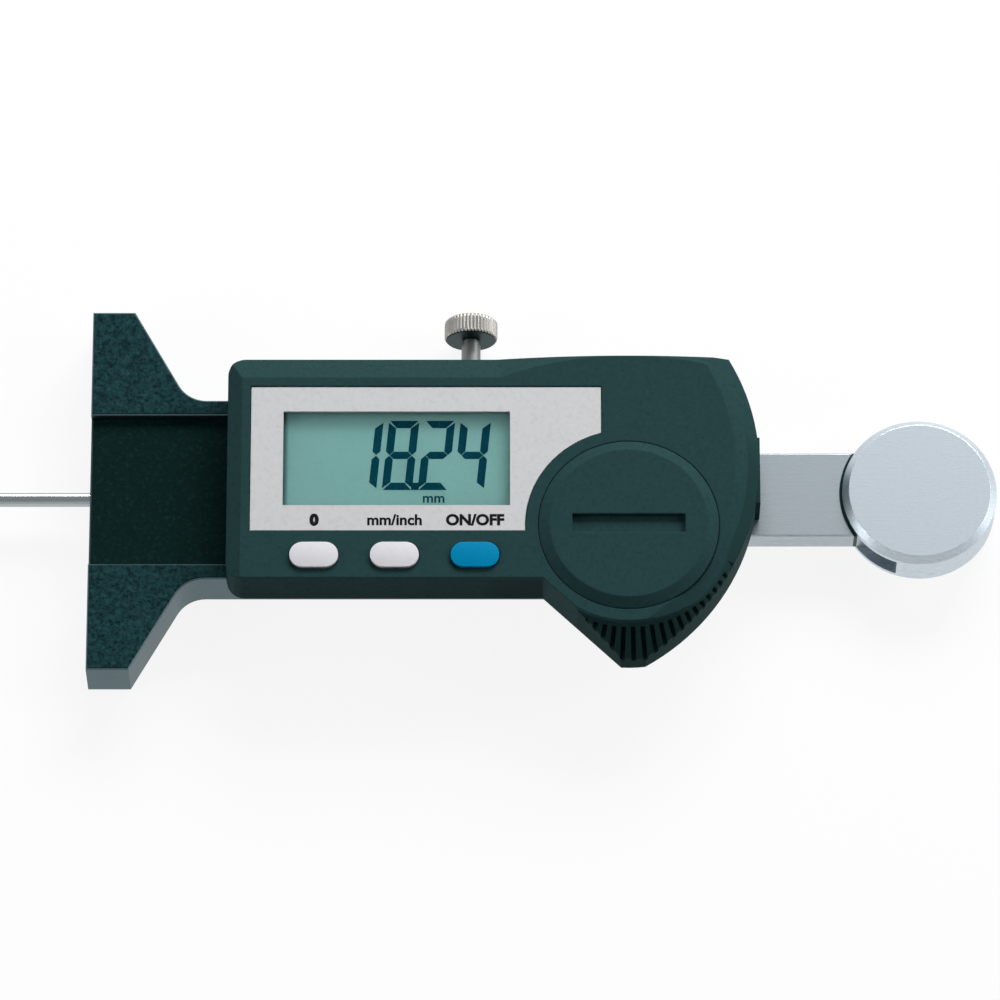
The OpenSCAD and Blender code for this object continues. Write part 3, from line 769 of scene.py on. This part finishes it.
def character_outlines(character, size):
    """The outlines of one character of the reading, in its own upright box."""
    bar = size.digit_bar
    if character == ".":
        left = (size.digit_width - size.digit_pitch - bar) / 2
        return [[(left, 0), (left + bar, 0), (left + bar, bar), (left, bar)]]
    return [
        level_segment(letter, size) if letter in "agd" else upright_segment(letter, size)
        for letter in SEGMENTS_OF[character]
    ]


def reading_outlines(size, corner):
    """The outlines of the whole reading, whose first digit stands at a corner."""
    lean = math.tan(size.digit_slant)
    x = corner[0]
    outlines = []
    for character in size.reading:
        for shape in character_outlines(character, size):
            outlines.append([(x + px + py * lean, corner[1] + py) for px, py in shape])
        if character != ".":
            x += size.digit_pitch
    return outlines


# Geometry node trees --------------------------------------------------------------------------


def geometry_tree(name, inputs):
    """A geometry node tree with its named inputs, as (tree, input node, output node)."""
    return new_tree(
        name, "GeometryNodeTree", [("Geometry", GEOMETRY, None)] + inputs, [("Geometry", GEOMETRY)]
    )


def end_with(tree, end, geometry, made):
    """Ends a geometry tree with real faces of one material."""
    real = add(tree, "GeometryNodeRealizeInstances", {"Geometry": geometry})
    paint = add(tree, "GeometryNodeSetMaterial", {"Geometry": real.outputs["Geometry"], "Material": made})
    feed(tree, end, {"Geometry": paint.outputs["Geometry"]})


def knurled_tree(made):
    """Geometry nodes for a straight-knurled round head about Z, with its low end at the origin."""
    points_a_ridge = 6.0
    rings = 10
    groove_power = 1.6
    tree, start, end = geometry_tree("knurled head", [
        ("Radius", NUMBER, 4 * MM), ("Length", NUMBER, 3 * MM), ("Ridges", COUNT, 40),
        ("Depth", NUMBER, 0.2 * MM), ("Chamfer", NUMBER, 0.4 * MM),
    ])
    given = start.outputs
    rim = add(tree, "GeometryNodeMeshCylinder", {
        "Side Segments": rings, "Radius": given["Radius"], "Depth": given["Length"],
        "Vertices": arithmetic(tree, "MULTIPLY", given["Ridges"], points_a_ridge),
    })
    rim.fill_type = "NGON"
    x, y, z = axes_of(tree, tree.nodes.new("GeometryNodeInputPosition").outputs["Position"])
    # A cosine wave round the rim, from 0 on a ridge to 1 in a groove, is made narrower by a power.
    angle = arithmetic(tree, "ARCTAN2", y, x)
    wave = arithmetic(tree, "COSINE", arithmetic(tree, "MULTIPLY", angle, given["Ridges"]))
    groove = arithmetic(tree, "POWER", arithmetic(tree, "MULTIPLY_ADD", wave, -0.5, 0.5), groove_power)
    inset = arithmetic(tree, "MULTIPLY", groove, given["Depth"])
    half = arithmetic(tree, "MULTIPLY", given["Length"], 0.5)
    straight = arithmetic(tree, "SUBTRACT", half, given["Chamfer"])
    beyond = arithmetic(tree, "SUBTRACT", arithmetic(tree, "ABSOLUTE", z), straight)
    inwards = arithmetic(tree, "MAXIMUM", inset, arithmetic(tree, "MAXIMUM", beyond, 0.0))
    share = arithmetic(tree, "SUBTRACT", 1.0, arithmetic(tree, "DIVIDE", inwards, given["Radius"]))
    moved = add(tree, "ShaderNodeCombineXYZ", {
        "X": arithmetic(tree, "MULTIPLY", x, share), "Y": arithmetic(tree, "MULTIPLY", y, share),
        "Z": arithmetic(tree, "ADD", z, half),
    })
    head = add(tree, "GeometryNodeSetPosition", {
        "Geometry": rim.outputs["Mesh"], "Position": moved.outputs["Vector"],
    })
    end_with(tree, end, head.outputs["Geometry"], made)
    return tree


def pads_tree(made):
    """Geometry nodes for a row of flat pads along X, with the first one centred on the origin."""
    tree, start, end = geometry_tree("scale pads", [
        ("Count", COUNT, 20), ("Pitch", NUMBER, 2.5 * MM), ("Width", NUMBER, 1.5 * MM),
        ("Reach", NUMBER, 8 * MM), ("Thickness", NUMBER, 0.02 * MM),
    ])
    given = start.outputs
    step = add(tree, "ShaderNodeCombineXYZ", {"X": given["Pitch"]})
    line = add(tree, "GeometryNodeMeshLine", {"Count": given["Count"], "Offset": step.outputs["Vector"]})
    extent = add(tree, "ShaderNodeCombineXYZ", {
        "X": given["Width"], "Y": given["Reach"], "Z": given["Thickness"],
    })
    pad = add(tree, "GeometryNodeMeshCube", {"Size": extent.outputs["Vector"]})
    row = add(tree, "GeometryNodeInstanceOnPoints", {
        "Points": line.outputs["Mesh"], "Instance": pad.outputs["Mesh"],
    })
    end_with(tree, end, row.outputs["Instances"], made)
    return tree


def node_mesh(tree, values):
    """The plain mesh that a geometry node tree makes with those input values."""
    draft = drafted("seed", bpy.data.meshes.new("seed"))
    modifier = draft.modifiers.new("nodes", "NODES")
    modifier.node_group = tree
    for item in tree.interface.items_tree:
        if item.item_type == "SOCKET" and item.in_out == "INPUT" and item.name in values:
            modifier[item.identifier] = values[item.name]
    return applied(draft)


# Operators ------------------------------------------------------------------------------------


class GaugeOperator:
    """What the operators of this file share."""

    bl_options = {"REGISTER", "UNDO"}


class GAUGE_OT_bridge(GaugeOperator, bpy.types.Operator):
    """Finishes the coated steel bridge and the plate in its recess"""

    bl_idname = "gauge.bridge"
    bl_label = "Bridge"

    def execute(self, context):
        tint = colours()
        size = sizes()
        coat = coated_steel("coated steel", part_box("frame")[1].z - size.coat_reach)
        set_material(node_object("frame"), coat)
        cover = moulded(
            "grained cover", tint.cover, speck=tint.cover_speck, rough=0.6, specular=0.03,
            specks=(1500, 0.54, 0.68), mottle=0.3, bump=0.6, edge=size.steel_edge,
        )
        set_material(node_object("slot_cover"), cover)
        return {"FINISHED"}


class GAUGE_OT_housing(GaugeOperator, bpy.types.Operator):
    """Finishes the moulded housing and its battery cover"""

    bl_idname = "gauge.housing"
    bl_label = "Housing and battery cover"

    def execute(self, context):
        tint = colours()
        size = sizes()
        plastic = moulded(
            "moulded plastic", tint.plastic, shade=0.8, specular=0.006, mottle=0.12, edge=size.edge
        )
        for node in ("housing", "battery_cover"):
            set_material(node_object(node), plastic)
        # Painted shade on the sunken thumb rest, fading out away from the cover.
        tinted_where(plastic, self.thumb_rest_shade_mask(plastic.node_tree, size), opaque(tint.rest))
        return {"FINISHED"}

    def thumb_rest_shade_mask(self, tree, size):
        """A mask of the sunken rest round the battery cover, which fades out away from it; it places painted
        shade.
        """
        low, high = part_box("battery_cover")
        rim = (high.x - low.x) / 2
        reach = distance_from(tree, centre_of("battery_cover"))
        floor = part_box("housing")[1].z - size.rest_drop
        outside = arithmetic(tree, "GREATER_THAN", reach, rim + size.rest_inner)
        below = arithmetic(tree, "LESS_THAN", object_axes(tree)[2], floor)
        fade = ramp(tree, reach, rim + size.rest_outer, rim + size.rest_fade * size.rest_outer)
        return arithmetic(tree, "MULTIPLY", arithmetic(tree, "MULTIPLY", outside, below), fade)


class GAUGE_OT_display(GaugeOperator, bpy.types.Operator):
    """Finishes the faceplate, its marks, the window, the display and its digits"""

    bl_idname = "gauge.display"
    bl_label = "Faceplate and display"

    def execute(self, context):
        tint = colours()
        size = context.scene.gauge_display
        film = moulded(
            "silver film", tint.plate, shade=0.88, rough=0.45, specular=0.06, mottle=0.03, bump=0.15
        )
        set_material(node_object("faceplate"), film)
        set_material(node_object("display_window"), clear_window(tint.pane))
        set_material(node_object("lcd_module"), self.glass(tint, size))
        self.digits(tint, size)
        self.marks(tint, size)
        return {"FINISHED"}

    def glass(self, tint, size):
        """The display's ground, darkened at its left end by painted shade from the opening's wall."""
        made = moulded("display ground", tint.lcd, shade=0.92, rough=0.35, mottle=0.03, bump=0.05)
        tree = made.node_tree
        left = centre_of("display_window")[0] - size.opening_width / 2
        # Painted shade, darkest at the display's left end and fading out to the right.
        painted_left_shade = ramp(tree, object_axes(tree)[0], left + size.shade_end, left + size.shade_start)
        tinted_where(made, painted_left_shade, opaque(tint.lcd_painted_shade))
        return made

    def digits(self, tint, size):
        """The reading and its unit on the display."""
        dark = moulded("display segments", tint.segment, shade=0.8, rough=0.4, specular=0.02, bump=0.05)
        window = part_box("display_window")[0]
        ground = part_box("lcd_module")[1].z
        depth = size.digit_depth
        corner = (window.x + size.digit_right, window.y + size.digit_up)
        digits = prisms_mesh("digits", reading_outlines(size, corner), ground, ground + depth)
        spot = (corner[0] + size.unit_right, corner[1] - size.unit_down)
        unit = text_mesh("mm", size.unit_height, spot, ground, depth, size.unit_weight)
        shown = new_piece("display_digits", joined("display digits", [digits, unit]), ROOT)
        set_material(shown, dark)

    def marks(self, tint, size):
        """The printed marks above the three buttons, whose strokes grow outwards by their weights."""
        ink = moulded("printed marks", tint.print_ink, shade=0.7, specular=0.02, bump=0.05)
        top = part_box("faceplate")[1].z
        marks = []
        for node, words, weight in (
            ("button_left", "0", 0.18 * MM),
            ("button_middle", "mm/inch", 0.075 * MM),
            ("button_right", "ON/OFF", 0.11 * MM),
        ):
            centre = (centre_of(node)[0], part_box(node)[1].y + size.mark_up)
            marks.append(text_mesh(words, size.mark_height, centre, top, size.mark_depth, weight))
        printed = new_piece("button_marks", joined("button marks", marks), ROOT)
        set_material(printed, ink)


class GAUGE_OT_buttons(GaugeOperator, bpy.types.Operator):
    """Finishes the three push buttons"""

    bl_idname = "gauge.buttons"
    bl_label = "Buttons"

    def execute(self, context):
        tint = colours()
        edge = sizes().button_edge
        pale = moulded(
            "pale button", tint.button, shade=0.94, rough=0.42, specular=0.2, mottle=0.02, bump=0.12
        )
        blue = moulded(
            "blue button", tint.power, shade=0.88, rough=0.42, specular=0.05, mottle=0.03, bump=0.12
        )
        for side, made, slot in (
            ("left", pale, "button_white"), ("middle", pale, "button_white"), ("right", blue, "button_blue")
        ):
            rounded_copy("button_" + side, edge, side + "_button", made)
        return {"FINISHED"}


class GAUGE_OT_slider(GaugeOperator, bpy.types.Operator):
    """Finishes the beam, its scale, the end disc and the measuring pin"""

    bl_idname = "gauge.slider"
    bl_label = "Beam, disc and pin"

    def execute(self, context):
        tint = colours()
        size = sizes()
        edge = size.steel_edge
        for node, made in (
            ("beam", self.beam_steel(tint, size)),
            ("end_disc", brushed("brushed disc", tint.disc, edge=edge)),
            ("measuring_pin", brushed("ground pin", tint.pin, streak=0.9, rough=0.18, bump=0.0, spread=0.0)),
            ("scale", moulded("scale ground", tint.scale, shade=0.8, rough=0.4, specular=0.2)),
        ):
            set_material(node_object(node), made)
        self.pads(tint.foil, size)
        return {"FINISHED"}

    def beam_steel(self, tint, size):
        """The beam's steel, with a painted shadow line round the end disc."""
        made = brushed("brushed beam", tint.beam, edge=size.steel_edge)
        tree = made.node_tree
        low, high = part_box("end_disc")
        rim = (high.x - low.x) / 2
        half_line = size.contact_shadow_width / 2
        reach = distance_from(tree, (centre_of("end_disc")[0], 0.0))
        # Painted shadow: a dark ring on the beam just outside the disc's rim.
        tinted_where(made, near(tree, reach, rim + half_line, half_line), opaque(tint.contact_shadow))
        return made

    def pads(self, tone, size):
        """The etched pads along the scale, each sunk a little into its ground."""
        rise_share = 0.3
        foil = brushed("scale foil", tone, streak=0.7, rough=0.3)
        low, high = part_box("scale")
        margin = size.pad_margin
        count = int((high.x - low.x - 2 * margin - size.pad_width) / size.pad_pitch) + 1
        mesh = node_mesh(pads_tree(foil), {
            "Count": count, "Pitch": size.pad_pitch, "Width": size.pad_width,
            "Reach": high.y - low.y - 2 * margin, "Thickness": size.pad_height,
        })
        first = (
            low.x + margin + size.pad_width / 2,
            centre_of("scale")[1],
            high.z + rise_share * size.pad_height,
        )
        mesh.transform(Matrix.Translation(first))
        row = new_piece("scale_pads", mesh, SLIDER)
        set_material(row, foil)


class GAUGE_OT_lock_screw(GaugeOperator, bpy.types.Operator):
    """Makes the knurled lock screw in place of its plain solid"""

    bl_idname = "gauge.lock_screw"
    bl_label = "Lock screw"

    def execute(self, context):
        tint = colours()
        size = context.scene.gauge_lock_screw
        knob = brushed("knurled steel", tint.knob, streak=0.7, rough=0.42)
        low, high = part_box("lock_screw")
        centre = centre_of("lock_screw")
        head_low = high.y - size.head_length
        head = node_mesh(knurled_tree(knob), {
            "Radius": (high.x - low.x) / 2, "Length": size.head_length, "Ridges": size.ridges,
            "Depth": size.ridge_depth, "Chamfer": size.head_chamfer,
        })
        upright = Matrix.Rotation(-math.pi / 2, 4, "X")
        head.transform(Matrix.Translation((centre[0], head_low, centre[2])) @ upright)
        profile = self.shank_profile(size, low.y, head_low)
        shank = lathe("shank", profile, (centre[0], 0.0, centre[2]), (0, 1, 0))
        whole = joined("lock screw", [head, shank])
        smooth(whole, KNURL_SHARP)
        obj = new_piece("lock_screw_knurled", whole, "locking_screw")
        set_material(obj, knob)
        self.painted_shade(knob, tint, head_low, size.band)
        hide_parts("lock_screw")
        return {"FINISHED"}

    def shank_profile(self, size, tip, head_low):
        """(distance along Y, radius) points from the tip, over the thread and neck, into the head."""
        radius = size.shank_radius
        pitch = size.thread_pitch
        start = tip + size.tip_length
        profile = [(tip, size.tip_share * radius), (start, radius)]
        for turn in range(int((size.thread_length - size.tip_length) / pitch)):
            crest = start + turn * pitch
            profile += [(crest + pitch / 2, radius - size.thread_depth), (crest + pitch, radius)]
        neck_low = head_low - size.neck_length
        neck = radius - size.neck_depth
        return profile + [(neck_low, radius), (neck_low, neck), (head_low + size.sunk, neck)]

    def painted_shade(self, knob, tint, head_low, band):
        """Paints shade on the face under the head as a dark band, and darkens the shank less so."""
        tree = knob.node_tree
        along = object_axes(tree)[1]
        # Painted shade on the band just under the head.
        tinted_where(knob, near(tree, along, head_low, band), opaque(tint.underside))
        tinted_where(knob, arithmetic(tree, "LESS_THAN", along, head_low - band), opaque(tint.shank))


class GAUGE_OT_inner(GaugeOperator, bpy.types.Operator):
    """Finishes the pieces inside and the small screws"""

    bl_idname = "gauge.inner"
    bl_label = "Inner pieces and screws"

    def execute(self, context):
        tint = colours()
        brass = brushed("milled brass", tint.brass, streak=0.75, rough=0.35)
        small = brushed("small screws", tint.screw, streak=0.7, rough=0.35)
        cell = brushed("cell steel", tint.cell, streak=0.85, rough=0.28)
        board = moulded("solder mask", tint.board, shade=0.8, rough=0.35, specular=0.4)
        rubber = moulded("rubber", tint.rubber, shade=0.7, rough=0.6)
        for made, names in (
            (brass, ("gib", "contact_plus", "contact_minus")),
            (small, ("gib_screws", "disc_screws", "stop_screw", "housing_screws", "back_plate")),
            (cell, ("battery",)),
            (board, ("circuit_board", "read_head")),
            (rubber, ("contact_strips", "keypad", "battery_seal")),
        ):
            for name in names:
                set_material(node_object(name), made)
        return {"FINISHED"}


# Stage ----------------------------------------------------------------------------------------

TABLE_REACH = 1.5
TABLE_GAP = 0.02 * MM
SENSOR_MM = 36


def area_lamp(name, spot, aim, extent, watts):
    """A soft rectangular lamp that looks at a point."""
    lamp = bpy.data.lights.new(name, "AREA")
    lamp.shape = "RECTANGLE"
    lamp.size, lamp.size_y = extent
    lamp.energy = watts
    obj = bpy.data.objects.new(name, lamp)
    obj.location = spot
    obj.rotation_euler = (aim - spot).to_track_quat("-Z", "Y").to_euler()
    bpy.context.scene.collection.objects.link(obj)


def seen_white(tree, lit, white, seen, mirrored):
    """Mixes a lit shader with a white one, by one share as it is seen and one as it is mirrored."""
    path = tree.nodes.new("ShaderNodeLightPath")
    camera, glass = path.outputs["Is Camera Ray"], path.outputs["Is Transmission Ray"]
    direct = arithmetic(tree, "MULTIPLY", arithmetic(tree, "MAXIMUM", camera, glass), seen)
    glossy = arithmetic(tree, "MULTIPLY", path.outputs["Is Glossy Ray"], mirrored)
    mix = add(tree, "ShaderNodeMixShader", {0: arithmetic(tree, "MAXIMUM", direct, glossy), 1: lit, 2: white})
    return mix.outputs["Shader"]


class GAUGE_OT_stage(GaugeOperator, bpy.types.Operator):
    """Sets the pale table, the soft lamps and the camera"""

    bl_idname = "gauge.stage"
    bl_label = "Stage"

    def execute(self, context):
        scene = context.scene
        studio = scene.gauge_studio
        scene.view_settings.view_transform = "Standard"
        self.table(scene, studio)
        self.surroundings(scene, studio)
        aim = Vector(studio.aim)
        for name, way, extent, watts in (
            ("key lamp", studio.key_way, studio.key_sides, studio.key),
            ("right lamp", studio.right_way, studio.right_sides, studio.right),
            ("left lamp", studio.left_way, studio.left_sides, studio.left),
        ):
            area_lamp(name, aim + Vector(way), aim, extent, watts)
        self.camera(scene, studio, aim)
        return {"FINISHED"}

    def table(self, scene, studio):
        """A wide pale table that the gauge lies on."""
        reach = TABLE_REACH
        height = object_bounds()[0][2] - TABLE_GAP
        corners = [(x * reach, y * reach, height) for x, y in ((-1, -1), (1, -1), (1, 1), (-1, 1))]
        obj = bpy.data.objects.new("table", solid_mesh("table", corners, [(0, 1, 2, 3)]))
        scene.collection.objects.link(obj)
        made, tree, shader = blank_material("pale table")
        feed(tree, shader, {"Base Color": opaque(studio.table), "Roughness": 0.7})
        glow = tree.nodes.new("ShaderNodeEmission").outputs["Emission"]
        mixed = seen_white(tree, shader.outputs["BSDF"], glow, seen=0.88, mirrored=0.95)
        out = next(node for node in tree.nodes if node.type == "OUTPUT_MATERIAL")
        feed(tree, out, {"Surface": mixed})
        set_material(obj, made)
        obj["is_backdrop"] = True

    def surroundings(self, scene, studio):
        """A white room that lights the gauge weakly and is mirrored whiter near its walls."""
        overhead = 0.5
        wall_gain = 0.4
        world = bpy.data.worlds.new("white room")
        scene.world = world
        world.use_nodes = True
        tree = world.node_tree
        tree.nodes.clear()
        lit = add(tree, "ShaderNodeBackground", {"Strength": studio.sky}).outputs["Background"]
        white = tree.nodes.new("ShaderNodeBackground").outputs["Background"]
        # A world's Generated coordinate is the direction looked in, so its Z says how steeply.
        steep = axes_of(tree, coordinates(tree, "Generated"))[2]
        wall = ramp(tree, steep, low=0.8, high=0.45)
        mirrored = arithmetic(tree, "ADD", arithmetic(tree, "MULTIPLY", wall, wall_gain), overhead)
        mixed = seen_white(tree, lit, white, seen=1.0, mirrored=mirrored)
        add(tree, "ShaderNodeOutputWorld", {"Surface": mixed})

    def camera(self, scene, studio, aim):
        """A distant camera that looks down at the aim from the front."""
        lens = bpy.data.cameras.new("camera")
        lens.sensor_width = SENSOR_MM
        lens.angle = 2 * math.atan(studio.width / 2 / studio.distance)
        lens.clip_start = 0.01
        camera = bpy.data.objects.new("camera", lens)
        away = Vector((0, -math.cos(studio.elevation), math.sin(studio.elevation)))
        camera.location = aim + studio.distance * away
        camera.rotation_euler = (-away).to_track_quat("-Z", "Y").to_euler()
        scene.collection.objects.link(camera)
        scene.camera = camera


# Panel and main -------------------------------------------------------------------------------

PIECES = (
    GAUGE_OT_bridge,
    GAUGE_OT_housing,
    GAUGE_OT_display,
    GAUGE_OT_buttons,
    GAUGE_OT_slider,
    GAUGE_OT_lock_screw,
    GAUGE_OT_inner,
    GAUGE_OT_stage,
)


class GAUGE_PT_panel(bpy.types.Panel):
    """Lists the operators in the sidebar."""

    bl_idname = "GAUGE_PT_panel"
    bl_label = "Depth gauge"
    bl_space_type = "VIEW_3D"
    bl_region_type = "UI"
    bl_category = "Gauge"

    def draw(self, context):
        for piece in PIECES:
            self.layout.operator(piece.bl_idname)


GROUPS = {
    "gauge_colours": GaugeColours,
    "gauge_sizes": GaugeSizes,
    "gauge_display": GaugeDisplay,
    "gauge_lock_screw": GaugeLockScrew,
    "gauge_studio": GaugeStudio,
}
CLASSES = tuple(GROUPS.values()) + PIECES + (GAUGE_PT_panel,)


def register():
    for item in CLASSES:
        bpy.utils.register_class(item)
    for name, group in GROUPS.items():
        setattr(bpy.types.Scene, name, PointerProperty(type=group))


def unregister():
    for name in GROUPS:
        delattr(bpy.types.Scene, name)
    for item in reversed(CLASSES):
        bpy.utils.unregister_class(item)


def main():
    register()
    bpy.ops.gauge.bridge()
    bpy.ops.gauge.housing()
    bpy.ops.gauge.display()
    bpy.ops.gauge.buttons()
    bpy.ops.gauge.slider()
    bpy.ops.gauge.lock_screw()
    bpy.ops.gauge.inner()
    bpy.ops.gauge.stage()


if __name__ == "__main__":
    main()
